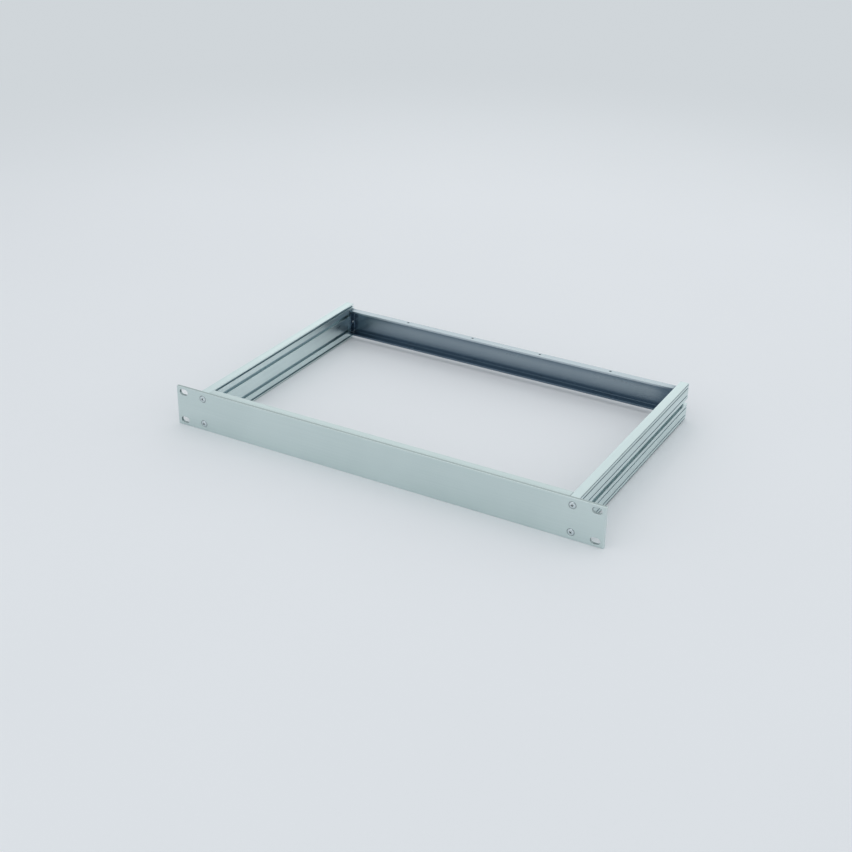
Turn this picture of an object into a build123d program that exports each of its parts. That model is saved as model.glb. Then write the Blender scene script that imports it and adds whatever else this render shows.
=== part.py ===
from build123d import *
import os

# Open 19-inch plug-in unit, one rack unit high: a front panel with rack ears, two
# extruded side profiles and a folded rear channel, held together by screws.
# Millimetres. X runs along the panel, Y backwards from its face and Z up. The origin
# is the middle of the panel's face, which is also the middle of its four rack slots.

# Rack unit and front panel
rack_unit = 44.45
panel_play = 0.85
panel_width = 482.6
panel_thickness = 3.0
panel_corner = 0.6
panel_chamfer = 0.3

# Rack slots, set in from the panel's ends and from the edges of the rack unit
slot_inset_x = 8.75
slot_inset_z = 6.35
slot_length = 10.3
slot_height = 6.8

# Lips behind the panel, under which the front edges of the covers lie
lip_depth = 10.0
lip_thickness = 2.0
lip_root = 0.8
lip_gap = 0.3

# Body behind the panel: the ears stick out past it, and the long edges a little
ear_width = 28.3
panel_overhang = 1.3

# Side profile
side_length = 280.0
side_thickness = 9.5
side_edge = 0.3
wall = 1.6

# Outer face: a deep groove at mid-height, and three shallow lines in each half
mid_groove_width = 5.2
mid_groove_depth = 4.0
line_width = 1.3
line_depth = 0.9
groove_to_line = 4.5
edge_to_line = 4.7
edge_line_width = 0.9
edge_to_edge_line = 0.8

# Inner face: a groove for the edge of each cover, and two grooves for boards
cover_lip = 1.2
cover_groove_width = 2.2
cover_groove_depth = 2.0
board_groove_z = 9.4
board_groove_width = 3.8
board_groove_depth = 2.8

# Hollows inside the profile
hollow_corner = 0.5

# Panel screws, raised countersunk, in the round channels of the side profiles. The rims of
# their heads lie a little below the panel's face.
panel_screw_diameter = 4.0
panel_screw_length = 14.0
panel_head_diameter = 7.2
panel_head_rise = 1.0
panel_head_sink = 0.35
panel_head_gap = 0.1
shank_gap = 0.15

# Rear channel, folded from one sheet
sheet = 2.0
bend_inside = 0.5
channel_depth = 10.0
channel_gap = 0.3
cover_recess = 5.2
tab_height = 23.0
tab_relief = 0.8
cover_hole_pitch = 84.0
cover_hole_count = 4
cover_hole_diameter = 2.5

# Screws of the rear channel, with their heads in the outer grooves
side_screw_diameter = 2.5
side_head_diameter = 4.5
side_head_height = 1.8
side_head_edge = 0.5
side_screw_end = 1.0

# Places that follow from the sizes above
panel_height = rack_unit - panel_play
front_y = panel_thickness
rear_y = front_y + side_length
outer_x = panel_width / 2 - ear_width
inner_x = outer_x - side_thickness
top_z = panel_height / 2 - panel_overhang
cover_groove_z = top_z - cover_lip - cover_groove_width / 2
screw_x = outer_x - side_thickness / 2
screw_z = (cover_groove_z - cover_groove_width / 2 + board_groove_z + board_groove_width / 2) / 2
bore_radius = panel_screw_diameter / 2 + shank_gap
side_bore_radius = side_screw_diameter / 2 + shank_gap
rear_top_z = top_z - cover_recess
flange_y = rear_y - channel_depth / 2

os.makedirs("parts", exist_ok=True)


# Front panel: a plate with rack ears and two lips that reach back between the sides.
with BuildPart() as front_panel:
    with BuildSketch(Plane.XZ):
        RectangleRounded(panel_width, panel_height, panel_corner)
        with GridLocations(panel_width - 2 * slot_inset_x, rack_unit - 2 * slot_inset_z, 2, 2):
            SlotOverall(slot_length, slot_height, mode=Mode.SUBTRACT)
    extrude(amount=-panel_thickness)
    with BuildSketch(Plane.YZ):
        for side in (1, -1):
            with Locations((front_y + lip_depth / 2, side * (top_z - lip_thickness / 2))):
                Rectangle(lip_depth, lip_thickness)
    extrude(amount=inner_x - lip_gap, both=True)
    chamfer(front_panel.faces().sort_by(Axis.Y)[0].outer_wire().edges(), panel_chamfer)
    # The two inner corners, where the lips leave the plate.
    plate_back = front_panel.faces().filter_by(Axis.Y).filter_by(
        lambda face: abs(face.center().Y - front_y) < panel_corner
    )
    lip_faces = front_panel.faces().filter_by(Axis.Z).filter_by(
        lambda face: abs(abs(face.center().Z) - (top_z - lip_thickness)) < panel_corner
    )
    corners = [edge for edge in plate_back.edges() if edge in lip_faces.edges()]
    fillet(corners, lip_root)
    with Locations(Plane.XZ):
        with GridLocations(2 * screw_x, 2 * screw_z, 2, 2):
            CounterSinkHole(
                bore_radius,
                panel_head_diameter / 2 + panel_head_sink + panel_head_gap,
                depth=panel_thickness,
                counter_sink_angle=90,
            )
front_panel.part.label = "front_panel"
export_step(front_panel.part, "parts/front_panel.step")


# Section of a side profile: X from its outer face inwards, Y upwards from mid-height.
with BuildSketch() as side_section:
    with Locations((side_thickness / 2, 0)):
        RectangleRounded(side_thickness, 2 * top_z, side_edge)
    with Locations((mid_groove_depth / 2, 0)):
        Rectangle(mid_groove_depth, mid_groove_width, mode=Mode.SUBTRACT)
    # Lines of the outer face: near the groove, near the edge, and a finer one close under the edge.
    for height, width in (
        (mid_groove_width / 2 + groove_to_line, line_width),
        (top_z - edge_to_line, line_width),
        (top_z - edge_to_edge_line, edge_line_width),
    ):
        with Locations((line_depth / 2, 0)):
            with GridLocations(0, 2 * height, 1, 2):
                Rectangle(line_depth, width, mode=Mode.SUBTRACT)
    # The grooves of the inner face.
    with Locations((side_thickness - cover_groove_depth / 2, 0)):
        with GridLocations(0, 2 * cover_groove_z, 1, 2):
            Rectangle(cover_groove_depth, cover_groove_width, mode=Mode.SUBTRACT)
    with Locations((side_thickness - board_groove_depth / 2, 0)):
        with GridLocations(0, 2 * board_groove_z, 1, 2):
            Rectangle(board_groove_depth, board_groove_width, mode=Mode.SUBTRACT)
    # The round screw channels, and a hollow between each of them and the deep groove.
    with Locations((side_thickness / 2, 0)):
        with GridLocations(0, 2 * screw_z, 1, 2):
            Circle(bore_radius, mode=Mode.SUBTRACT)
    hollow_start = line_depth + wall
    hollow_end = side_thickness - board_groove_depth - wall
    hollow_low = mid_groove_width / 2 + wall
    hollow_high = screw_z - bore_radius - wall
    with Locations(((hollow_start + hollow_end) / 2, 0)):
        with GridLocations(0, hollow_low + hollow_high, 1, 2):
            RectangleRounded(
                hollow_end - hollow_start, hollow_high - hollow_low, hollow_corner, mode=Mode.SUBTRACT
            )

# Side profiles: the same extrusion at both sides, with the deep groove outwards.
for name, side in (("side_profile_left", -1), ("side_profile_right", 1)):
    with BuildPart() as side_profile:
        with BuildSketch(Plane((side * outer_x, front_y, 0), x_dir=(-side, 0, 0), z_dir=(0, side, 0))):
            add(side_section.sketch)
        extrude(amount=side * side_length)
        # Clearance hole of the rear screw, through the floor of the deep groove.
        with BuildSketch(Plane.YZ.offset(side * inner_x)):
            with Locations((flange_y, 0)):
                Circle(side_bore_radius)
        extrude(amount=side * side_thickness, mode=Mode.SUBTRACT)
    side_profile.part.label = name
    export_step(side_profile.part, f"parts/{name}.step")


# Rear channel: a web with a flange forward along its top and its bottom edge.
with BuildPart() as rear_channel:
    with BuildSketch(Plane.YZ):
        with BuildLine():
            FilletPolyline(
                (rear_y - channel_depth, rear_top_z - sheet / 2),
                (rear_y - sheet / 2, rear_top_z - sheet / 2),
                (rear_y - sheet / 2, -rear_top_z + sheet / 2),
                (rear_y - channel_depth, -rear_top_z + sheet / 2),
                radius=bend_inside + sheet / 2,
            )
        trace(line_width=sheet)
    extrude(amount=inner_x - channel_gap, both=True)
    # At each end a tab is cut free of the web and folded forward along the side profile.
    notch = 2 * (bend_inside + sheet)
    with BuildSketch(Plane.XZ.offset(-rear_y)):
        with GridLocations(2 * inner_x, 0, 2, 1):
            Rectangle(notch, tab_height + 2 * tab_relief)
    extrude(amount=sheet, mode=Mode.SUBTRACT)
    for side in (1, -1):
        with BuildSketch(Plane.XY):
            with BuildLine():
                FilletPolyline(
                    (side * (inner_x - notch), rear_y - sheet / 2),
                    (side * (inner_x - sheet / 2), rear_y - sheet / 2),
                    (side * (inner_x - sheet / 2), rear_y - channel_depth),
                    radius=bend_inside + sheet / 2,
                )
            trace(line_width=sheet)
        extrude(amount=tab_height / 2, both=True)
    with BuildSketch(Plane.YZ):
        with Locations((flange_y, 0)):
            Circle(side_bore_radius)
    extrude(amount=inner_x, both=True, mode=Mode.SUBTRACT)
    # Screw holes for the covers, through both flanges.
    with BuildSketch(Plane.XY):
        with Locations((0, flange_y)):
            with GridLocations(cover_hole_pitch, 0, cover_hole_count, 1):
                Circle(cover_hole_diameter / 2)
    extrude(amount=rear_top_z, both=True, mode=Mode.SUBTRACT)
rear_channel.part.label = "rear_channel"
export_step(rear_channel.part, "parts/rear_channel.step")


# Panel screw, with Z out of its head: a cone under a low dome, and a plain shank.
head_radius = panel_head_diameter / 2
shank_radius = panel_screw_diameter / 2
with BuildPart() as panel_screw:
    with BuildSketch(Plane.XZ):
        with BuildLine():
            Polyline(
                (0, panel_head_rise),
                (0, -panel_screw_length),
                (shank_radius, -panel_screw_length),
                (shank_radius, shank_radius - head_radius),
                (head_radius, 0),
            )
            TangentArc((0, panel_head_rise), (head_radius, 0), tangent=(1, 0))
        make_face()
    revolve(axis=Axis.Z)

with BuildPart() as panel_screws:
    with Locations(Plane.XZ.offset(-panel_head_sink)):
        with GridLocations(2 * screw_x, 2 * screw_z, 2, 2):
            add(panel_screw.part)
panel_screws.part.label = "panel_screws"
export_step(panel_screws.part, "parts/panel_screws.step")


# Side screw, with Z out of its head: a pan head on a shank that passes through the tab.
side_screw_length = side_thickness - mid_groove_depth + sheet + side_screw_end
with BuildPart() as side_screw:
    Cylinder(side_head_diameter / 2, side_head_height, align=(Align.CENTER, Align.CENTER, Align.MIN))
    fillet(side_screw.edges().group_by(Axis.Z)[-1], side_head_edge)
    Cylinder(side_screw_diameter / 2, side_screw_length, align=(Align.CENTER, Align.CENTER, Align.MAX))

with BuildPart() as side_screws:
    for side in (1, -1):
        seat = Plane((side * (outer_x - mid_groove_depth), flange_y, 0), z_dir=(side, 0, 0))
        with Locations(seat):
            add(side_screw.part)
side_screws.part.label = "side_screws"
export_step(side_screws.part, "parts/side_screws.step")
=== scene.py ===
"""Looks of an open plug-in unit enclosure: front panel, two side profiles, rear channel and screws.

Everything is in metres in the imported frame: X along the panel, Y backwards from its face, Z up, with the
origin in the middle of the panel's face.
"""

import logging
import math
from collections.abc import Callable
from dataclasses import dataclass, replace
from enum import Enum

import bmesh
import bpy
from mathutils import Matrix, Vector


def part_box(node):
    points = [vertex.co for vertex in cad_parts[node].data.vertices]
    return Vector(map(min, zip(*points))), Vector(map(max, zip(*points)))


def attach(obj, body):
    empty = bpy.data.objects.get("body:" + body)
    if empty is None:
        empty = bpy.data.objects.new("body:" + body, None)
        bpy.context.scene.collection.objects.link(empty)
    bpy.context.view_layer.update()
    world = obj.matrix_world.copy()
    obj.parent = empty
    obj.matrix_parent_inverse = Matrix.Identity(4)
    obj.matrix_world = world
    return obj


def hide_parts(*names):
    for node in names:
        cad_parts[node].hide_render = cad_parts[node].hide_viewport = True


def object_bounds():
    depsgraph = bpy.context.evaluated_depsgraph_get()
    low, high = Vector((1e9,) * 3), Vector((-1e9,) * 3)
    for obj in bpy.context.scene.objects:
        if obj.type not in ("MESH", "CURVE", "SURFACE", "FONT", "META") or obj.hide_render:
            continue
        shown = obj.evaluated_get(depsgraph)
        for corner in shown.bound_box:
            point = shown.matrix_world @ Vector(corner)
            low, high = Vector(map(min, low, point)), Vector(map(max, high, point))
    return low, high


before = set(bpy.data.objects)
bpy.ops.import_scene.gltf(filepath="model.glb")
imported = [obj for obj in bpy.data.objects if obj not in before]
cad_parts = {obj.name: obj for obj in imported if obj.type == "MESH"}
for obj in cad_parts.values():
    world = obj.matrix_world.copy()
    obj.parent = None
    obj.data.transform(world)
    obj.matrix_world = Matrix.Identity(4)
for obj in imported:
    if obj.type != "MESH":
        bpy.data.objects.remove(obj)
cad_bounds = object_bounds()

logging.basicConfig(level=logging.INFO, format="%(name)s: %(message)s")
log = logging.getLogger("enclosure")

MM = 0.001

# Width and height of the picture, in pixels.
PICTURE_SIZE = 852

# An edge stays sharp where its faces turn by more than this, in degrees.
SHARP_ANGLE = 35.0

# The middle of a mask, which goes from 0 to 1.
MIDDLE = 0.5

Pair = tuple[float, float]
Triple = tuple[float, float, float]
Socket = bpy.types.NodeSocket
Ring = tuple[float | Callable[[float], float], float]


class Head(Enum):
    """The form of a screw's head."""

    RAISED_COUNTERSUNK = "raised countersunk"
    PAN = "pan"


class Neighbours(Enum):
    """Whose walls count as the other side of a crevice, for its painted shade."""

    OWN_SHAPE = "of own shape"
    EVERYTHING = "beside anything"


class NodeTree:
    """Short calls for adding nodes and links to a shader tree."""

    def __init__(self, tree: bpy.types.NodeTree) -> None:
        """Keeps the tree, which is a material's, a world's or a node group."""
        self.tree = tree

    def add(self, kind: str, **settings: object) -> bpy.types.Node:
        """Adds a node and sets its properties.

        Args:
            kind: Blender's name of the node type.
            **settings: properties of the node and their values.

        Returns:
            The new node.
        """
        node = self.tree.nodes.new(kind)
        for name, value in settings.items():
            setattr(node, name, value)
        return node

    def link(self, start: Socket, end: Socket) -> None:
        """Joins an output to an input."""
        self.tree.links.new(start, end)

    def give(self, end: Socket, value: object) -> None:
        """Feeds an input.

        Args:
            end: the input.
            value: a socket to link it to, or the number, vector or colour with alpha that it holds.
        """
        if isinstance(value, Socket):
            self.link(value, end)
        else:
            end.default_value = value

    def math(self, operation: str, first: object, second: object = 0.0) -> Socket:
        """Adds a Math node.

        Args:
            operation: Blender's name of the operation.
            first: a socket or a number.
            second: a socket or a number.

        Returns:
            The socket with the result.
        """
        node = self.add("ShaderNodeMath", operation=operation)
        self.give(node.inputs[0], first)
        self.give(node.inputs[1], second)
        return node.outputs["Value"]

    def vector(self, operation: str, first: Socket, second: Socket | None = None) -> Socket:
        """Adds a Vector Math node.

        Args:
            operation: Blender's name of the operation.
            first: a socket with a vector.
            second: a socket with a vector, where the operation takes two.

        Returns:
            The socket with the result, which is a number for a length or a dot product.
        """
        node = self.add("ShaderNodeVectorMath", operation=operation)
        self.link(first, node.inputs[0])
        if second is not None:
            self.link(second, node.inputs[1])
        return node.outputs["Value" if operation in ("LENGTH", "DOT_PRODUCT") else "Vector"]

    def ranged(
        self, value: Socket, low: float, high: float, to_low: object = 0.0, to_high: object = 1.0
    ) -> Socket:
        """Adds a smooth Map Range node.

        Args:
            value: the socket that is mapped.
            low: the value that gives to_low.
            high: the value that gives to_high.
            to_low: a socket or a number.
            to_high: a socket or a number.

        Returns:
            The socket with the mapped value.
        """
        node = self.add("ShaderNodeMapRange", interpolation_type="SMOOTHSTEP")
        self.link(value, node.inputs["Value"])
        node.inputs["From Min"].default_value = low
        node.inputs["From Max"].default_value = high
        self.give(node.inputs["To Min"], to_low)
        self.give(node.inputs["To Max"], to_high)
        return node.outputs["Result"]

    def mixed(self, factor: Socket, first: object, second: object) -> Socket:
        """Adds a colour Mix node.

        Args:
            factor: the socket that gives the share of the second colour.
            first: a socket or a colour.
            second: a socket or a colour.

        Returns:
            The socket with the mixed colour.
        """
        node = self.add("ShaderNodeMix", data_type="RGBA")
        self.link(factor, node.inputs["Factor"])
        for end, value in ((node.inputs[6], first), (node.inputs[7], second)):
            self.give(end, value if isinstance(value, Socket) else (*value, 1.0))
        return node.outputs[2]

    def place(self) -> Socket:
        """Gives the place in the object, in metres."""
        return self.add("ShaderNodeTexCoord").outputs["Object"]


@dataclass(frozen=True)
class Noise:
    """A noise texture, and the span of its values that is spread over 0 to 1."""

    scale: float = 1.0
    detail: float = 2.0
    distortion: float = 0.0
    low: float = 0.3
    high: float = 0.7

    def texture(self, nodes: NodeTree, place: Socket, scale: Socket | None = None) -> Socket:
        """Adds the texture.

        Args:
            nodes: the tree that it goes into.
            place: the coordinates that it is laid out in.
            scale: a socket that gives the scale in place of the fixed one.

        Returns:
            The socket with the plain noise.
        """
        node = nodes.add("ShaderNodeTexNoise", noise_dimensions="3D")
        nodes.give(node.inputs["Scale"], self.scale if scale is None else scale)
        node.inputs["Detail"].default_value = self.detail
        node.inputs["Distortion"].default_value = self.distortion
        nodes.link(place, node.inputs["Vector"])
        return node.outputs["Fac"]

    def spread(
        self, nodes: NodeTree, place: Socket, scale: Socket | None = None, lowest: object = 0.0
    ) -> Socket:
        """Adds the texture and spreads its values.

        Args:
            nodes: the tree that it goes into.
            place: the coordinates that it is laid out in.
            scale: a socket that gives the scale in place of the fixed one.
            lowest: a socket or a number that takes the place of 0.

        Returns:
            The socket with the spread values.
        """
        return nodes.ranged(self.texture(nodes, place, scale), self.low, self.high, lowest)


class SharedEffects:
    """Node groups that several finishes use, each built once."""

    # Lines of drawing: the noise along them, and how much wider the coarse ones are.
    LINE_NOISE = Noise()
    LINE_WIDTHS = (1.0, 7.0)

    # Patches of the oxide layer, and its grain.
    CLOUD_NOISE = Noise(detail=3.0, distortion=0.6)
    GRAIN_NOISE = Noise(scale=4200.0, detail=1.0, low=0.25, high=0.75)

    # Edges, with their wear and painted highlight: what breaks them up, and the cosines of the rounding's
    # turn at which they start and are full.
    WEAR_AND_HIGHLIGHT_NOISE = Noise(scale=320.0, detail=3.0, low=0.35, high=0.65)
    WEAR_START, WEAR_FULL = 0.995, 0.85
    EDGE_SAMPLES = 6

    # Dust specks: cells per metre, a speck's core and rim as shares of its cell, and the most cells with one.
    SPECK_CELLS = 260.0
    SPECK_CORE, SPECK_RIM = 0.03, 0.08
    SPECK_MOST = 0.5

    # Scratches: the noise that picks them, and their slant and stretch.
    SCRATCH_NOISE = Noise(detail=0.0, low=0.74, high=0.8)
    SCRATCH_SLANT = (0.7, 0.5, 0.9)
    SCRATCH_STRETCH = (900.0, 22.0, 900.0)

    # Painted shade in hollows: the rays that measure a point's open air.
    PAINTED_SHADE_SAMPLES = 12

    # Cut faces: how squarely they face an axis, and the slant and stretch of the saw's strokes.
    SQUARE_START, SQUARE_FULL = 0.8, 0.95
    STROKE_SLANT = (0.35, 0.3, 0.0)
    STROKE_STRETCH = (2600.0, 2600.0, 90.0)

    def __init__(self) -> None:
        """Builds the groups."""
        self.drawn_lines = self._drawn_lines()
        self.clouding = self._clouding()
        self.edge_wear_and_highlight = self._edge_wear_and_highlight()
        self.handling = self._handling()
        self.painted_shades = {neighbours: self._painted_shade(neighbours) for neighbours in Neighbours}
        self.cut_faces = self._cut_faces()

    @staticmethod
    def _new_group(
        name: str, inputs: dict[str, object], outputs: tuple[str, ...], directions: tuple[str, ...] = ()
    ) -> tuple[bpy.types.NodeTree, NodeTree, bpy.types.Node, bpy.types.Node]:
        """Makes an empty group with named sockets.

        Args:
            name: the group's name.
            inputs: name of each input, with its default value.
            outputs: names of the outputs that are values.
            directions: names of the outputs that are vectors.

        Returns:
            The group, its NodeTree, its input node and its output node.
        """
        group = bpy.data.node_groups.new(name, "ShaderNodeTree")
        for label, value in inputs.items():
            kind = "NodeSocketVector" if isinstance(value, tuple) else "NodeSocketFloat"
            group.interface.new_socket(label, in_out="INPUT", socket_type=kind).default_value = value
        for label in outputs:
            group.interface.new_socket(label, in_out="OUTPUT", socket_type="NodeSocketFloat")
        for label in directions:
            group.interface.new_socket(label, in_out="OUTPUT", socket_type="NodeSocketVector")
        nodes = NodeTree(group)
        return group, nodes, nodes.add("NodeGroupInput"), nodes.add("NodeGroupOutput")

    @staticmethod
    def _slanted(nodes: NodeTree, place: Socket, slant: Triple, stretch: Triple) -> Socket:
        """Turns and stretches coordinates, for strokes that run askew.

        Args:
            nodes: the group's tree.
            place: the coordinates.
            slant: angles about X, Y and Z, in radians.
            stretch: factors along X, Y and Z.

        Returns:
            The socket with the new coordinates.
        """
        node = nodes.add("ShaderNodeMapping")
        node.inputs["Rotation"].default_value = slant
        node.inputs["Scale"].default_value = stretch
        nodes.link(place, node.inputs["Vector"])
        return node.outputs["Vector"]

    def _drawn_lines(self) -> bpy.types.NodeTree:
        """Fine lines left by drawing, rolling or grinding along one direction.

        Returns:
            The group. Its Stretch input gives the lines' number per metre along X, Y and Z.
        """
        group, nodes, given, result = self._new_group(
            "Drawn lines", {"Stretch": (2500.0, 6.0, 2500.0), "Coarse share": 0.4}, ("Lines", "Coarse lines")
        )
        place = nodes.place()
        layers = []
        for width in self.LINE_WIDTHS:
            density = nodes.add("ShaderNodeVectorMath", operation="SCALE")
            nodes.link(given.outputs["Stretch"], density.inputs[0])
            density.inputs["Scale"].default_value = 1.0 / width
            stretched = nodes.vector("MULTIPLY", place, density.outputs["Vector"])
            layers.append(self.LINE_NOISE.spread(nodes, stretched))
        fine, coarse = layers
        coarse_share = given.outputs["Coarse share"]
        fine_part = nodes.math("MULTIPLY", fine, nodes.math("SUBTRACT", 1.0, coarse_share))
        coarse_part = nodes.math("MULTIPLY", coarse, coarse_share)
        nodes.link(nodes.math("ADD", fine_part, coarse_part), result.inputs["Lines"])
        nodes.link(coarse, result.inputs["Coarse lines"])
        return group

    def _clouding(self) -> bpy.types.NodeTree:
        """Soft large patches and a fine grain, as an oxide layer has them.

        Returns:
            The group. Its Size input is the patches' width in metres.
        """
        group, nodes, given, result = self._new_group("Clouding", {"Size": 0.06}, ("Cloud", "Grain"))
        place = nodes.place()
        patches_per_metre = nodes.math("DIVIDE", 1.0, given.outputs["Size"])
        nodes.link(self.CLOUD_NOISE.spread(nodes, place, patches_per_metre), result.inputs["Cloud"])
        nodes.link(self.GRAIN_NOISE.spread(nodes, place), result.inputs["Grain"])
        return group

    def _edge_wear_and_highlight(self) -> bpy.types.NodeTree:
        """A mask of the sharp edges for their wear and painted highlight, broken up by noise, and the normal
        of their rounding.

        Returns:
            The group. Its Width input is the edge band's width in metres.
        """
        group, nodes, given, result = self._new_group(
            "Edge wear and highlight", {"Width": 0.0004, "Break up": 0.5}, ("Edge",), ("Rounded normal",)
        )
        rounding = nodes.add("ShaderNodeBevel", samples=self.EDGE_SAMPLES)
        nodes.link(given.outputs["Width"], rounding.inputs["Radius"])
        rounded = rounding.outputs["Normal"]
        turn = nodes.vector("DOT_PRODUCT", rounded, nodes.add("ShaderNodeNewGeometry").outputs["Normal"])
        edge = nodes.ranged(turn, self.WEAR_START, self.WEAR_FULL)
        least = nodes.math("SUBTRACT", 1.0, given.outputs["Break up"])
        broken = self.WEAR_AND_HIGHLIGHT_NOISE.spread(nodes, nodes.place(), lowest=least)
        nodes.link(nodes.math("MULTIPLY", edge, broken), result.inputs["Edge"])
        nodes.link(rounded, result.inputs["Rounded normal"])
        return group

    def _handling(self) -> bpy.types.NodeTree:
        """Dust specks and faint scratches from handling.

        Returns:
            The group. Its Amount input goes from none at 0 to many at 1.
        """
        group, nodes, given, result = self._new_group(
            "Handling marks", {"Amount": 0.3}, ("Specks", "Scratches")
        )
        place, amount = nodes.place(), given.outputs["Amount"]
        cells = nodes.add("ShaderNodeTexVoronoi", voronoi_dimensions="3D", feature="F1")
        cells.inputs["Scale"].default_value = self.SPECK_CELLS
        nodes.link(place, cells.inputs["Vector"])
        speck = nodes.ranged(cells.outputs["Distance"], self.SPECK_CORE, self.SPECK_RIM, 1.0, 0.0)
        chance = nodes.add("ShaderNodeSeparateColor")
        nodes.link(cells.outputs["Color"], chance.inputs["Color"])
        most = nodes.math("MULTIPLY", amount, self.SPECK_MOST)
        chosen = nodes.math("LESS_THAN", chance.outputs["Red"], most)
        nodes.link(nodes.math("MULTIPLY", speck, chosen), result.inputs["Specks"])
        slanted = self._slanted(nodes, place, self.SCRATCH_SLANT, self.SCRATCH_STRETCH)
        scratches = self.SCRATCH_NOISE.spread(nodes, slanted)
        nodes.link(nodes.math("MULTIPLY", scratches, amount), result.inputs["Scratches"])
        return group

    def _painted_shade(self, neighbours: Neighbours) -> bpy.types.NodeTree:
        """A mask of painted shade in grooves, corners and gaps, fuller where a point sees less open air.

        Args:
            neighbours: whose walls make a gap.

        Returns:
            The group. Its Reach input is how far off the walls may stand, in metres, and its other inputs are
            the shares of open air at which the mask is full and at which it is gone.
        """
        group, nodes, given, result = self._new_group(
            f"Painted shade {neighbours.value}", {"Reach": 0.004, "Full at": 0.45, "None at": 0.95}, ("Shade",)
        )
        own_only = neighbours is Neighbours.OWN_SHAPE
        hidden = nodes.add("ShaderNodeAmbientOcclusion", samples=self.PAINTED_SHADE_SAMPLES, only_local=own_only)
        nodes.link(given.outputs["Reach"], hidden.inputs["Distance"])
        span = nodes.math("SUBTRACT", given.outputs["None at"], given.outputs["Full at"])
        over = nodes.math("SUBTRACT", given.outputs["None at"], hidden.outputs["AO"])
        share = nodes.math("DIVIDE", over, span)
        nodes.link(nodes.math("MINIMUM", nodes.math("MAXIMUM", share, 0.0), 1.0), result.inputs["Shade"])
        return group

    def _cut_faces(self) -> bpy.types.NodeTree:
        """A mask of the faces that a saw or shear left, and the fine strokes on them.

        Returns:
            The group. Its Facing input names the axes that such faces look along. Its Beyond input is how far
            out on X, Y and Z they start, in metres, and it is enough for them to pass one of the three.
        """
        group, nodes, given, result = self._new_group(
            "Cut faces", {"Facing": (0.0, 1.0, 0.0), "Beyond": (0.0, 0.0, 0.0)}, ("Cut", "Strokes")
        )
        normal = nodes.add("ShaderNodeNewGeometry").outputs["Normal"]
        faced = nodes.vector("LENGTH", nodes.vector("MULTIPLY", normal, given.outputs["Facing"]))
        place = nodes.place()
        over = nodes.add("ShaderNodeSeparateXYZ")
        past = nodes.vector("SUBTRACT", nodes.vector("ABSOLUTE", place), given.outputs["Beyond"])
        nodes.link(past, over.inputs[0])
        upper = nodes.math("MAXIMUM", over.outputs["Y"], over.outputs["Z"])
        farthest = nodes.math("MAXIMUM", over.outputs["X"], upper)
        outside = nodes.math("GREATER_THAN", farthest, 0.0)
        squarely = nodes.ranged(faced, self.SQUARE_START, self.SQUARE_FULL)
        nodes.link(nodes.math("MULTIPLY", squarely, outside), result.inputs["Cut"])
        slanted = self._slanted(nodes, place, self.STROKE_SLANT, self.STROKE_STRETCH)
        nodes.link(self.LINE_NOISE.spread(nodes, slanted), result.inputs["Strokes"])
        return group


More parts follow.
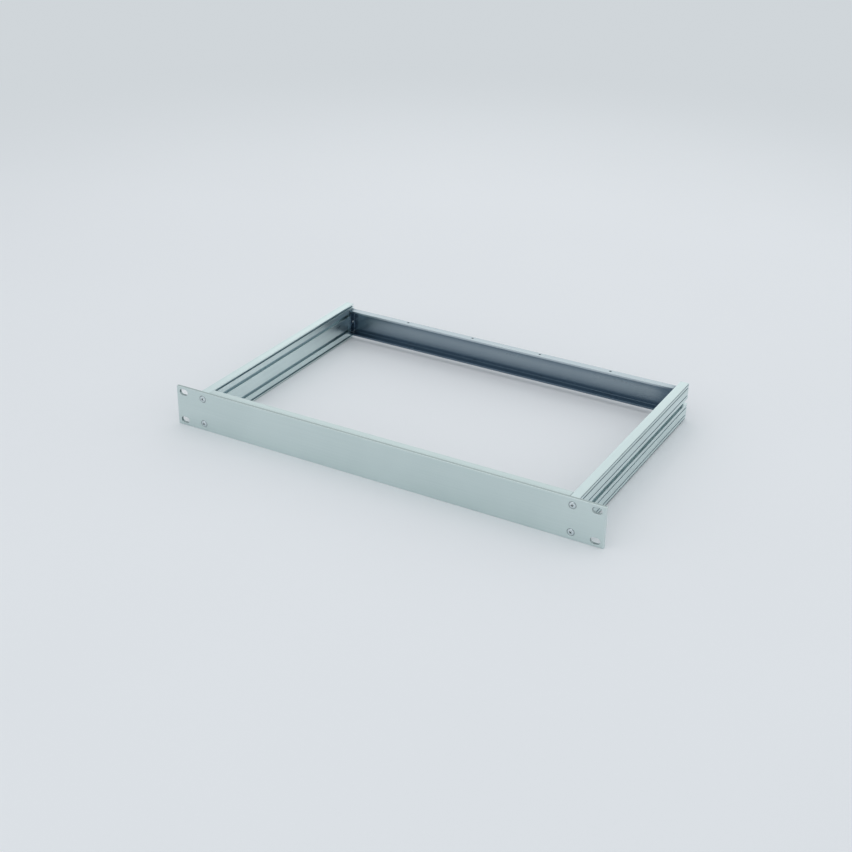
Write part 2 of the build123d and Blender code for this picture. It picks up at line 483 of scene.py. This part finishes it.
@dataclass(frozen=True)
class MetalFinish:
    """A bare or anodised metal surface, with lines along its making direction.

    Sizes, widths, reaches and line_height are in metres. The height of the grain, the strokes and the
    scratches is a multiple of line_height.
    """

    name: str
    colour: Triple
    shade: Triple
    roughness: float
    roughness_play: float
    metallic: float = 1.0
    stretch: Triple = (2500.0, 6.0, 2500.0)
    coarse_share: float = 0.4
    line_height: float = 0.00002
    cloud_size: float = 0.06
    grain_height: float = 0.35
    bump_strength: float = 0.6
    marks: float = 0.25
    dust_colour: Triple = (0.8, 0.8, 0.78)
    dust_share: float = 0.35
    dust_roughness: float = 0.2
    scratch_depth: float = 1.5
    # Edge wear with a painted highlight: a lighter colour along the sharp edges.
    edge_wear_and_highlight_colour: Triple = (0.86, 0.88, 0.9)
    edge_width: float = 0.0004
    edge_share: float = 0.5
    edge_polish: float = 0.08
    # Painted shade: a dark colour mixed in where the mask finds hollows, by how little open air they see.
    painted_shade_colour: Triple = (0.16, 0.26, 0.31)
    painted_shade_reach: float = 0.004
    painted_shade_full_at: float = 0.4
    painted_shade_none_at: float = 0.95
    painted_shade_share: float = 0.8
    neighbours: Neighbours = Neighbours.OWN_SHAPE
    cut_colour: Triple = (0.5, 0.57, 0.58)
    cut_facing: Triple = (0.0, 1.0, 0.0)
    cut_beyond: Triple = (0.0, 0.0, 0.0)
    cut_share: float = 0.0
    cut_roughness: float = 0.12
    stroke_contrast: float = 0.3
    stroke_height: float = 2.5

    def material(self, effects: SharedEffects) -> bpy.types.Material:
        """Builds the finish's material.

        Args:
            effects: the shared node groups.

        Returns:
            The material.
        """
        made = bpy.data.materials.new(self.name)
        made.use_nodes = True
        nodes = NodeTree(made.node_tree)
        shader = made.node_tree.nodes["Principled BSDF"]
        found = self._placed(nodes, effects)
        nodes.link(self._base_colour(nodes, found), shader.inputs["Base Color"])
        nodes.link(self._roughness(nodes, found), shader.inputs["Roughness"])
        nodes.link(self._normal(nodes, found), shader.inputs["Normal"])
        shader.inputs["Metallic"].default_value = self.metallic
        return made

    def _placed(self, nodes: NodeTree, effects: SharedEffects) -> dict[str, Socket]:
        """Places the shared groups with this finish's values.

        Args:
            nodes: the material's tree.
            effects: the shared node groups.

        Returns:
            The groups' outputs by name, with Cut already at this finish's share.
        """
        painted_shade_values = {
            "Reach": self.painted_shade_reach,
            "Full at": self.painted_shade_full_at,
            "None at": self.painted_shade_none_at,
        }
        found = {}
        for group, values in (
            (effects.drawn_lines, {"Stretch": self.stretch, "Coarse share": self.coarse_share}),
            (effects.clouding, {"Size": self.cloud_size}),
            (effects.edge_wear_and_highlight, {"Width": self.edge_width}),
            (effects.handling, {"Amount": self.marks}),
            (effects.painted_shades[self.neighbours], painted_shade_values),
            (effects.cut_faces, {"Facing": self.cut_facing, "Beyond": self.cut_beyond}),
        ):
            placed = nodes.add("ShaderNodeGroup", node_tree=group)
            for name, value in values.items():
                placed.inputs[name].default_value = value
            found.update((output.name, output) for output in placed.outputs)
        found["Cut"] = nodes.math("MULTIPLY", found["Cut"], self.cut_share)
        return found

    def _base_colour(self, nodes: NodeTree, found: dict[str, Socket]) -> Socket:
        """Mixes the metal's tones with cut faces, edge wear with a painted highlight, dust, and painted shade
        in hollows.

        Args:
            nodes: the material's tree.
            found: the shared groups' outputs.

        Returns:
            The socket with the colour.
        """
        tone = nodes.math("MULTIPLY", nodes.math("ADD", found["Cloud"], found["Lines"]), MIDDLE)
        drawn = nodes.mixed(tone, self.shade, self.colour)
        streak = nodes.math("MULTIPLY", found["Strokes"], -self.stroke_contrast)
        cut_part = nodes.math("MULTIPLY", found["Cut"], nodes.math("ADD", streak, 1.0))
        sawn = nodes.mixed(cut_part, drawn, self.cut_colour)
        # Edge wear and painted highlight.
        edge_wear_and_highlight_part = nodes.math("MULTIPLY", found["Edge"], self.edge_share)
        worn_and_highlit = nodes.mixed(edge_wear_and_highlight_part, sawn, self.edge_wear_and_highlight_colour)
        dust_part = nodes.math("MULTIPLY", found["Specks"], self.dust_share)
        dusty = nodes.mixed(dust_part, worn_and_highlit, self.dust_colour)
        # Painted shade, mixed in last.
        painted_shade_part = nodes.math("MULTIPLY", found["Shade"], self.painted_shade_share)
        return nodes.mixed(painted_shade_part, dusty, self.painted_shade_colour)

    def _roughness(self, nodes: NodeTree, found: dict[str, Socket]) -> Socket:
        """Varies the roughness with lines and patches, dust, polished edges and cut faces.

        Args:
            nodes: the material's tree.
            found: the shared groups' outputs.

        Returns:
            The socket with the roughness.
        """
        lines = nodes.math("SUBTRACT", found["Coarse lines"], MIDDLE)
        patches = nodes.math("SUBTRACT", found["Cloud"], MIDDLE)
        by_lines = nodes.math("MULTIPLY", lines, self.roughness_play)
        by_patches = nodes.math("MULTIPLY", patches, self.roughness_play)
        rough = nodes.math("ADD", nodes.math("ADD", by_lines, by_patches), self.roughness)
        rough = nodes.math("ADD", rough, nodes.math("MULTIPLY", found["Specks"], self.dust_roughness))
        rough = nodes.math("SUBTRACT", rough, nodes.math("MULTIPLY", found["Edge"], self.edge_polish))
        return nodes.math("ADD", rough, nodes.math("MULTIPLY", found["Cut"], self.cut_roughness))

    def _normal(self, nodes: NodeTree, found: dict[str, Socket]) -> Socket:
        """Raises lines, grain and saw strokes and sinks scratches, over the rounded edges.

        Args:
            nodes: the material's tree.
            found: the shared groups' outputs.

        Returns:
            The socket with the normal.
        """
        grain = nodes.math("MULTIPLY", found["Grain"], self.grain_height)
        scratches = nodes.math("MULTIPLY", found["Scratches"], self.scratch_depth)
        scratched = nodes.math("SUBTRACT", grain, scratches)
        cut_strokes = nodes.math("MULTIPLY", found["Cut"], found["Strokes"])
        sawn = nodes.math("MULTIPLY", cut_strokes, self.stroke_height)
        bump = nodes.add("ShaderNodeBump")
        bump.inputs["Strength"].default_value = self.bump_strength
        bump.inputs["Distance"].default_value = self.line_height
        height = nodes.math("ADD", nodes.math("ADD", found["Lines"], scratched), sawn)
        nodes.link(height, bump.inputs["Height"])
        nodes.link(found["Rounded normal"], bump.inputs["Normal"])
        return bump.outputs["Normal"]


# The panel was sheared along its top and bottom edges. Only they lie over 21.4 mm above or below the middle,
# and nothing lies a metre out on X or Y.
PANEL_FINISH = MetalFinish(
    name="satin anodised panel",
    colour=(0.69, 0.78, 0.77),
    shade=(0.6, 0.7, 0.69),
    roughness=0.42,
    roughness_play=0.06,
    stretch=(8.0, 2500.0, 2600.0),
    line_height=0.000012,
    cloud_size=0.14,
    # A near-white edge colour at a high share paints a highlight along the panel's edges.
    edge_wear_and_highlight_colour=(0.97, 0.98, 0.98),
    edge_width=0.0005,
    edge_share=0.8,
    # Painted shade: near black in the screws' countersinks and the slots.
    painted_shade_colour=(0.06, 0.1, 0.11),
    painted_shade_reach=0.008,
    painted_shade_full_at=0.6,
    painted_shade_none_at=0.98,
    painted_shade_share=0.95,
    cut_colour=(0.4, 0.47, 0.46),
    cut_facing=(0.0, 0.0, 1.0),
    cut_beyond=(1.0, 1.0, 0.0214),
    cut_share=0.95,
)

# The profiles were sawn off at both ends, which face along Y.
PROFILE_FINISH = MetalFinish(
    name="satin anodised extrusion",
    colour=(0.73, 0.83, 0.82),
    shade=(0.62, 0.73, 0.73),
    roughness=0.36,
    roughness_play=0.1,
    stretch=(2300.0, 5.0, 2300.0),
    coarse_share=0.55,
    # The default painted shade darkens the grooves.
    cut_share=0.8,
)

CHANNEL_FINISH = MetalFinish(
    name="rolled sheet",
    colour=(0.5, 0.57, 0.6),
    shade=(0.42, 0.49, 0.53),
    roughness=0.24,
    roughness_play=0.05,
    stretch=(5.0, 1400.0, 1400.0),
    coarse_share=0.2,
    line_height=0.000006,
    # A dark blue painted shade over the channel's inside, which the floor and the other parts also cast.
    painted_shade_colour=(0.1, 0.15, 0.2),
    painted_shade_reach=0.03,
    painted_shade_full_at=0.74,
    painted_shade_none_at=0.97,
    painted_shade_share=0.95,
    neighbours=Neighbours.EVERYTHING,
)

SCREW_FINISH = MetalFinish(
    name="zinc plated steel",
    colour=(0.78, 0.83, 0.84),
    shade=(0.62, 0.7, 0.72),
    roughness=0.2,
    roughness_play=0.08,
    stretch=(3500.0, 3500.0, 3500.0),
    cloud_size=0.004,
    line_height=0.000006,
    edge_width=0.0002,
    # Painted shade around the head's rim and in the recess, which the panel also casts.
    painted_shade_colour=(0.12, 0.16, 0.18),
    painted_shade_reach=0.003,
    painted_shade_full_at=0.72,
    painted_shade_none_at=0.98,
    painted_shade_share=0.9,
    neighbours=Neighbours.EVERYTHING,
)

# The side screws are a lighter copy of the screw finish, a painted highlight so that they stand out of their
# groove, and only their own recess gets painted shade.
LIT_SIDE_SCREW_FINISH = replace(
    SCREW_FINISH,
    name="zinc plated steel with painted highlight",
    colour=(0.94, 0.96, 0.97),
    shade=(0.84, 0.88, 0.9),
    roughness=0.3,
    neighbours=Neighbours.OWN_SHAPE,
)


class Shell:
    """A closed mesh put together from rings of points."""

    def __init__(self, name: str) -> None:
        """Starts an empty mesh, with the name of the piece that it becomes."""
        self.name = name
        self.shape = bmesh.new()

    def bridge(self, upper: list[bmesh.types.BMVert], lower: list[bmesh.types.BMVert], step: int) -> None:
        """Adds the face from one point of two rings to the next.

        Args:
            upper: the points of one ring, in order.
            lower: the points of the other ring, in the same order.
            step: the number of the point.
        """
        after = (step + 1) % len(upper)
        self.shape.faces.new((upper[step], lower[step], lower[after], upper[after]))

    def revolve(self, profile: list[Ring], sides: int) -> None:
        """Adds a body of revolution about Z, closed at both ends on the axis.

        Args:
            profile: pairs of radius and height, from the top down. A radius may be a function of the turn
                from 0 to 1.
            sides: how many points each ring has.
        """
        rings = []
        for radius, height in profile:
            ring = []
            for step in range(sides):
                turn = step / sides
                reach = radius(turn) if callable(radius) else radius
                angle = 2 * math.pi * turn
                point = (reach * math.cos(angle), reach * math.sin(angle), height)
                ring.append(self.shape.verts.new(point))
            rings.append(ring)
        top = self.shape.verts.new((0, 0, profile[0][1]))
        bottom = self.shape.verts.new((0, 0, profile[-1][1]))
        for step in range(sides):
            after = (step + 1) % sides
            self.shape.faces.new((top, rings[0][step], rings[0][after]))
            self.shape.faces.new((bottom, rings[-1][after], rings[-1][step]))
            for upper, lower in zip(rings, rings[1:]):
                self.bridge(upper, lower, step)

    def object(self) -> bpy.types.Object:
        """Ends the mesh.

        Returns:
            The object, linked to the scene and placed at the origin.
        """
        bmesh.ops.recalc_face_normals(self.shape, faces=self.shape.faces)
        mesh = bpy.data.meshes.new(self.name)
        self.shape.to_mesh(mesh)
        self.shape.free()
        piece = bpy.data.objects.new(self.name, mesh)
        bpy.context.scene.collection.objects.link(piece)
        return piece


def cut(piece: bpy.types.Object, tool: bpy.types.Object) -> None:
    """Takes the tool's space out of the piece and deletes the tool.

    Args:
        piece: the object that is cut.
        tool: a closed object.
    """
    step = piece.modifiers.new("cut", "BOOLEAN")
    step.operation = "DIFFERENCE"
    step.solver = "EXACT"
    step.object = tool
    bpy.context.view_layer.update()
    graph = bpy.context.evaluated_depsgraph_get()
    result = bpy.data.meshes.new_from_object(piece.evaluated_get(graph))
    piece.modifiers.clear()
    piece.data = result
    bpy.data.objects.remove(tool)


def smooth_by_angle(piece: bpy.types.Object) -> None:
    """Shades the piece smooth, with its edges over the sharp angle kept sharp.

    Args:
        piece: a mesh object.
    """
    piece.data.shade_smooth()
    piece.data.set_sharp_from_angle(angle=math.radians(SHARP_ANGLE))


@dataclass(frozen=True)
class Screw:
    """A cross-recessed screw, with Z out of its head and its bearing height at zero."""

    head: Head
    head_radius: float
    head_rise: float
    shank_radius: float
    length: float
    pitch: float
    thread_depth: float
    recess_width: float
    recess_depth: float
    wing_thickness: float
    sides: int = 48

    # A raised countersunk head: rings of its dome, and the height of the rim under it.
    dome_rings: int = 12
    rim_height: float = 0.1 * MM

    # A pan head: rings of its round edge, the edge's size, the crown's rings and how far the edge lies below
    # them, all as shares of the head's sizes, and the bevel at its foot.
    edge_rings: int = 9
    edge_share: float = 0.3
    crown: tuple[Pair, ...] = ((0.35, 1.0), (0.6, 0.985))
    crown_drop: float = 0.03
    foot_bevel: float = 0.03 * MM

    # The thread's rings in each turn, and the tip: its length and radius as shares of the shank's radius, and
    # the step down to it.
    rings_per_turn: int = 6
    tip_length: float = 0.5
    tip_radius: float = 0.55
    tip_step: float = 0.05 * MM

    def _raised_countersunk_rings(self) -> list[Ring]:
        """Rings of a low dome, a thin rim and a cone.

        Returns:
            Pairs of radius and height, from the top to the shank.
        """
        rings = []
        for step in range(1, self.dome_rings + 1):
            share = step / self.dome_rings
            rings.append((self.head_radius * share, self.head_rise * (1 - share**2)))
        rings.append((self.head_radius, -self.rim_height))
        rings.append((self.shank_radius, self.shank_radius - self.head_radius - self.rim_height))
        return rings

    def _pan_rings(self) -> list[Ring]:
        """Rings of an almost flat crown, a round edge and a short wall.

        Returns:
            Pairs of radius and height, from the top to the shank.
        """
        rings = [(self.head_radius * width, self.head_rise * height) for width, height in self.crown]
        edge = self.edge_share * self.head_rise
        for step in range(self.edge_rings):
            angle = math.radians(90 - (step + 0.5) * 90 / self.edge_rings)
            radius = self.head_radius - edge + edge * math.cos(angle)
            drop = self.crown_drop * self.head_rise
            rings.append((radius, self.head_rise - edge + edge * math.sin(angle) - drop))
        rings.append((self.head_radius, self.foot_bevel))
        rings.append((self.head_radius - self.foot_bevel, 0.0))
        rings.append((self.shank_radius, 0.0))
        return rings

    def _thread_rings(self, start: float) -> list[Ring]:
        """Rings of the threaded shank, each with a radius that follows the helix, and of the tip.

        Args:
            start: height at which the thread begins.

        Returns:
            Pairs of radius and height, from the head to the tip.
        """
        rings = []
        end = -self.length + self.shank_radius * self.tip_length
        count = int((start - end) / self.pitch * self.rings_per_turn)
        for step in range(1, count + 1):
            height = start + (end - start) * step / count
            fade = min(1.0, step / self.rings_per_turn, (count - step + 1) / self.rings_per_turn)

            def radius(turn: float, height: float = height, fade: float = fade) -> float:
                """Gives the helix's radius at a turn of this ring."""
                phase = (height / self.pitch + turn) % 1.0
                return self.shank_radius - self.thread_depth * fade * (1 - abs(2 * phase - 1))

            rings.append((radius, height))
        rings.append((self.shank_radius - self.thread_depth, end - self.tip_step))
        rings.append((self.shank_radius * self.tip_radius, -self.length))
        return rings

    def _recess_tool(self) -> bpy.types.Object:
        """A tapered cross that cuts the recess.

        Returns:
            The closed cutter.
        """
        shell = Shell("recess tool")
        long, thick = self.recess_width / 2, self.wing_thickness / 2
        # Height, reach and half thickness of the wings: above the head, low in the recess, and on its floor.
        sections = (
            (self.head_rise + 0.5 * MM, long * 1.12, thick * 1.1),
            (self.head_rise - self.recess_depth * 0.75, long * 0.5, thick * 0.75),
            (self.head_rise - self.recess_depth, thick * 0.8, thick * 0.35),
        )
        rings = []
        for height, reach, width in sections:
            corners = []
            for quarter in range(4):
                turned = Matrix.Rotation(quarter * math.pi / 2, 3, "Z")
                for x, y in ((width, width), (reach, width), (reach, -width)):
                    corners.append(turned @ Vector((x, y, height)))
            ordered = sorted(corners, key=lambda point: math.atan2(point.y, point.x))
            rings.append([shell.shape.verts.new(point) for point in ordered])
        for upper, lower in zip(rings, rings[1:]):
            for step in range(len(upper)):
                shell.bridge(upper, lower, step)
        shell.shape.faces.new(rings[0])
        shell.shape.faces.new(list(reversed(rings[-1])))
        return shell.object()

    def build(self, name: str) -> bpy.types.Object:
        """Builds the screw.

        Args:
            name: the piece's name.

        Returns:
            The screw, at the origin.
        """
        shell = Shell(name)
        countersunk = self.head is Head.RAISED_COUNTERSUNK
        head = self._raised_countersunk_rings() if countersunk else self._pan_rings()
        shell.revolve(head + self._thread_rings(head[-1][1]), self.sides)
        screw = shell.object()
        cut(screw, self._recess_tool())
        smooth_by_angle(screw)
        return screw


@dataclass(frozen=True)
class FrameParts:
    """A sub-assembly whose solids keep the frame's shape, and which gets its finish here."""

    nodes: tuple[str, ...]
    finish: MetalFinish

    def build(self, effects: SharedEffects) -> list[bpy.types.Object]:
        """Dresses the nodes.

        Args:
            effects: the shared node groups.

        Returns:
            The nodes' objects.
        """
        finish = self.finish.material(effects)
        pieces = [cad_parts[node] for node in self.nodes]
        for piece in pieces:
            piece.data.materials.clear()
            piece.data.materials.append(finish)
        return pieces


@dataclass(frozen=True)
class ScrewSet:
    """Screws of one kind that stand for a node of the frame. Each kind of set has its own places."""

    node: str
    screw: Screw
    finish: MetalFinish
    slot: str = "screw"
    turns: tuple[float, ...] = (0.35, 1.1, 0.8, 0.15)

    def places(self) -> list[Matrix]:
        """Finds where the screws go."""
        raise NotImplementedError

    def build(self, effects: SharedEffects) -> list[bpy.types.Object]:
        """Builds the screws at their places, each turned its own way, as one piece.

        Args:
            effects: the shared node groups.

        Returns:
            The piece that replaces the node.
        """
        pattern = self.screw.build(f"{self.node}_looks")
        gathered = bmesh.new()
        for place, turn in zip(self.places(), self.turns):
            copy = pattern.data.copy()
            copy.transform(place @ Matrix.Rotation(turn, 4, "Z"))
            gathered.from_mesh(copy)
            bpy.data.meshes.remove(copy)
        gathered.to_mesh(pattern.data)
        gathered.free()
        smooth_by_angle(pattern)
        pattern.data.materials.clear()
        pattern.data.materials.append(self.finish.material(effects))
        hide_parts(self.node)
        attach(pattern, "root")
        return [pattern]


class PanelScrews(ScrewSet):
    """The four screws that hold the front panel to the side profiles."""

    def places(self) -> list[Matrix]:
        """Finds the four places in the box of their node, with the heads towards the front.

        Returns:
            The screws' placements.
        """
        low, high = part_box("panel_screws")
        radius = self.screw.head_radius
        out = Matrix.Rotation(math.pi / 2, 4, "X")
        places = []
        for x in (low[0] + radius, high[0] - radius):
            for z in (low[2] + radius, high[2] - radius):
                places.append(Matrix.Translation((x, low[1] + self.screw.head_rise, z)) @ out)
        return places


class SideScrews(ScrewSet):
    """The two screws that hold the rear channel, with their heads in the outer grooves."""

    def places(self) -> list[Matrix]:
        """Finds the two places in the box of their node, with the heads outwards.

        Returns:
            The screws' placements.
        """
        low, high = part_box("side_screws")
        y, rise = (low[1] + high[1]) / 2, self.screw.head_rise
        places = []
        for x, turn in ((low[0] + rise, -math.pi / 2), (high[0] - rise, math.pi / 2)):
            places.append(Matrix.Translation((x, y, 0.0)) @ Matrix.Rotation(turn, 4, "Y"))
        return places


PANEL_SCREW = Screw(
    head=Head.RAISED_COUNTERSUNK,
    head_radius=3.6 * MM,
    head_rise=1.0 * MM,
    shank_radius=2.0 * MM,
    length=14.0 * MM,
    pitch=0.7 * MM,
    thread_depth=0.35 * MM,
    recess_width=3.4 * MM,
    recess_depth=1.8 * MM,
    wing_thickness=0.7 * MM,
)

# The head is as wide as in the frame, where it reaches one radius above the middle.
SIDE_SCREW = Screw(
    head=Head.PAN,
    head_radius=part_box("side_screws")[1][2],
    head_rise=1.8 * MM,
    shank_radius=1.25 * MM,
    length=8.5 * MM,
    pitch=0.45 * MM,
    thread_depth=0.22 * MM,
    recess_width=2.8 * MM,
    recess_depth=1.3 * MM,
    wing_thickness=0.75 * MM,
)


@dataclass(frozen=True)
class Softbox:
    """A broad soft lamp. Its radiance is how bright its face is, where 1 is white."""

    name: str
    place: Triple
    size: Pair
    radiance: float
    colour: Triple = (1.0, 1.0, 1.0)

    def hang(self, aim: Triple) -> None:
        """Hangs the lamp.

        Args:
            aim: the point that it faces.
        """
        data = bpy.data.lights.new(self.name, "AREA")
        data.shape = "RECTANGLE"
        data.size, data.size_y = self.size
        data.energy = self.radiance * math.pi * self.size[0] * self.size[1]
        data.color = self.colour
        lamp = bpy.data.objects.new(self.name, data)
        lamp.location = self.place
        lamp.rotation_euler = (Vector(aim) - Vector(self.place)).to_track_quat("-Z", "Y").to_euler()
        lamp.visible_camera = False
        bpy.context.scene.collection.objects.link(lamp)


@dataclass(frozen=True)
class Viewpoint:
    """Where the photograph was taken from, as fitted to points of the object. Angles are in degrees."""

    place: Triple = (0.6418, -1.0424, 0.6763)
    azimuth: float = 29.35
    elevation: float = 27.49
    roll: float = 0.77
    focal_pixels: float = 1440.9
    sensor_width: float = 36.0
    nearest: float = 0.05
    farthest: float = 50.0

    def camera(self) -> bpy.types.Object:
        """Puts a camera there and makes it the scene's.

        Returns:
            The camera.
        """
        angles = (self.azimuth, self.elevation, self.roll)
        azimuth, elevation, roll = (math.radians(angle) for angle in angles)
        level = math.cos(elevation)
        away = Vector((math.sin(azimuth) * level, -math.cos(azimuth) * level, math.sin(elevation)))
        right = Vector((math.cos(azimuth), math.sin(azimuth), 0.0))
        up = away.cross(right)
        rolled_right = math.cos(roll) * right + math.sin(roll) * up
        rolled_up = -math.sin(roll) * right + math.cos(roll) * up
        turned = Matrix((rolled_right, rolled_up, away)).transposed().to_4x4()
        data = bpy.data.cameras.new("camera")
        data.sensor_width = self.sensor_width
        data.lens = self.focal_pixels / PICTURE_SIZE * data.sensor_width
        data.clip_start, data.clip_end = self.nearest, self.farthest
        camera = bpy.data.objects.new("camera", data)
        camera.matrix_world = Matrix.Translation(self.place) @ turned
        bpy.context.scene.collection.objects.link(camera)
        bpy.context.scene.camera = camera
        return camera


@dataclass(frozen=True)
class Studio:
    """The pale floor, the soft lights and the camera.

    The floor runs out into the far colour between fade_start and fade_end, in metres from the origin. The
    air's colour and strength are those of the even light all round.
    """

    floor_colour: Triple = (0.84, 0.865, 0.885)
    floor_lift: float = 1.03
    floor_noise: Noise = Noise(scale=3.0)
    floor_roughness: float = 0.7
    floor_gloss: float = 0.2
    floor_radius: float = 7.0
    floor_sides: int = 96
    fade_start: float = 0.8
    fade_end: float = 1.7
    far_colour: Triple = (0.63, 0.67, 0.7)
    air_colour: Triple = (0.93, 0.96, 1.0)
    air_strength: float = 0.66
    aim: Triple = (0.0, 0.14, 0.0)
    softboxes: tuple[Softbox, ...] = (
        Softbox("rear softbox", (-0.6, 1.7, 0.7), (1.6, 0.7), 0.5, (1.0, 0.98, 0.94)),
        Softbox("top softbox", (-0.2, 0.1, 2.0), (3.0, 2.2), 0.42, (1.0, 0.99, 0.97)),
        Softbox("right softbox", (1.8, 1.0, 0.95), (2.6, 1.5), 0.45),
        Softbox("front softbox", (-0.6, -1.7, 1.0), (1.8, 1.2), 0.5),
    )
    viewpoint: Viewpoint = Viewpoint()

    @staticmethod
    def _seen(nodes: NodeTree) -> Socket:
        """Tells the rays that see the background, directly or in metal and glass, from those that light.

        Args:
            nodes: the shader tree of the floor or the world.

        Returns:
            The socket that is 1 for a ray that sees.
        """
        path = nodes.add("ShaderNodeLightPath")
        direct = nodes.math("MAXIMUM", path.outputs["Is Camera Ray"], path.outputs["Is Glossy Ray"])
        return nodes.math("MAXIMUM", direct, path.outputs["Is Transmission Ray"])

    @staticmethod
    def _blend(nodes: NodeTree, share: Socket, near: Socket, far: Socket, output: str) -> None:
        """Mixes two shaders and puts them out.

        Args:
            nodes: the shader tree of the floor or the world.
            share: the socket that gives the share of the far shader.
            near: the output of the first shader.
            far: the output of the second shader.
            output: the name of the tree's output node.
        """
        blend = nodes.add("ShaderNodeMixShader")
        nodes.link(share, blend.inputs["Fac"])
        nodes.link(near, blend.inputs[1])
        nodes.link(far, blend.inputs[2])
        nodes.link(blend.outputs["Shader"], nodes.tree.nodes[output].inputs["Surface"])

    def _floor_paint(self) -> bpy.types.Material:
        """Paints the floor, and lets it run out into the background's colour.

        Returns:
            The floor's material.
        """
        made = bpy.data.materials.new("floor paint")
        made.use_nodes = True
        nodes = NodeTree(made.node_tree)
        shader = made.node_tree.nodes["Principled BSDF"]
        place = nodes.place()
        paler = tuple(min(1.0, part * self.floor_lift) for part in self.floor_colour)
        paint = nodes.mixed(self.floor_noise.texture(nodes, place), self.floor_colour, paler)
        nodes.link(paint, shader.inputs["Base Color"])
        shader.inputs["Roughness"].default_value = self.floor_roughness
        shader.inputs["Specular IOR Level"].default_value = self.floor_gloss
        away = nodes.ranged(nodes.vector("LENGTH", place), self.fade_start, self.fade_end)
        glow = nodes.add("ShaderNodeEmission")
        glow.inputs["Color"].default_value = (*self.far_colour, 1.0)
        share = nodes.math("MULTIPLY", away, self._seen(nodes))
        self._blend(nodes, share, shader.outputs["BSDF"], glow.outputs["Emission"], "Material Output")
        return made

    def floor(self) -> bpy.types.Object:
        """Lays the floor under the object.

        Returns:
            The floor.
        """
        mesh = bpy.data.meshes.new("floor")
        shape = bmesh.new()
        bmesh.ops.create_circle(shape, cap_ends=True, segments=self.floor_sides, radius=self.floor_radius)
        shape.to_mesh(mesh)
        shape.free()
        mesh.transform(Matrix.Translation((0, 0, cad_bounds[0].z)))
        floor = bpy.data.objects.new("floor", mesh)
        bpy.context.scene.collection.objects.link(floor)
        floor.data.materials.append(self._floor_paint())
        return floor

    def world(self) -> None:
        """Sets the even light all round, and the background's colour."""
        world = bpy.data.worlds.new("studio air")
        bpy.context.scene.world = world
        world.use_nodes = True
        nodes = NodeTree(world.node_tree)
        even = world.node_tree.nodes["Background"]
        even.inputs["Color"].default_value = (*self.air_colour, 1.0)
        even.inputs["Strength"].default_value = self.air_strength
        shown = nodes.add("ShaderNodeBackground")
        shown.inputs["Color"].default_value = (*self.far_colour, 1.0)
        backgrounds = (even.outputs["Background"], shown.outputs["Background"])
        self._blend(nodes, self._seen(nodes), *backgrounds, "World Output")

    def build(self) -> None:
        """Sets up the whole studio."""
        self.floor()
        self.world()
        for softbox in self.softboxes:
            softbox.hang(self.aim)
        self.viewpoint.camera()
        bpy.context.scene.view_settings.view_transform = "Standard"


def main() -> None:
    """Builds the enclosure's sub-assemblies in order, reports each piece, and sets up the studio."""
    effects = SharedEffects()
    sub_assemblies = (
        FrameParts(("front_panel",), PANEL_FINISH),
        FrameParts(("side_profile_left", "side_profile_right"), PROFILE_FINISH),
        FrameParts(("rear_channel",), CHANNEL_FINISH),
        PanelScrews("panel_screws", PANEL_SCREW, SCREW_FINISH),
        SideScrews("side_screws", SIDE_SCREW, LIT_SIDE_SCREW_FINISH),
    )
    for sub_assembly in sub_assemblies:
        for piece in sub_assembly.build(effects):
            finish = piece.data.materials[0].name
            log.info("%s: %s, %d faces", piece.name, finish, len(piece.data.polygons))
    Studio().build()


if __name__ == "__main__":
    main()
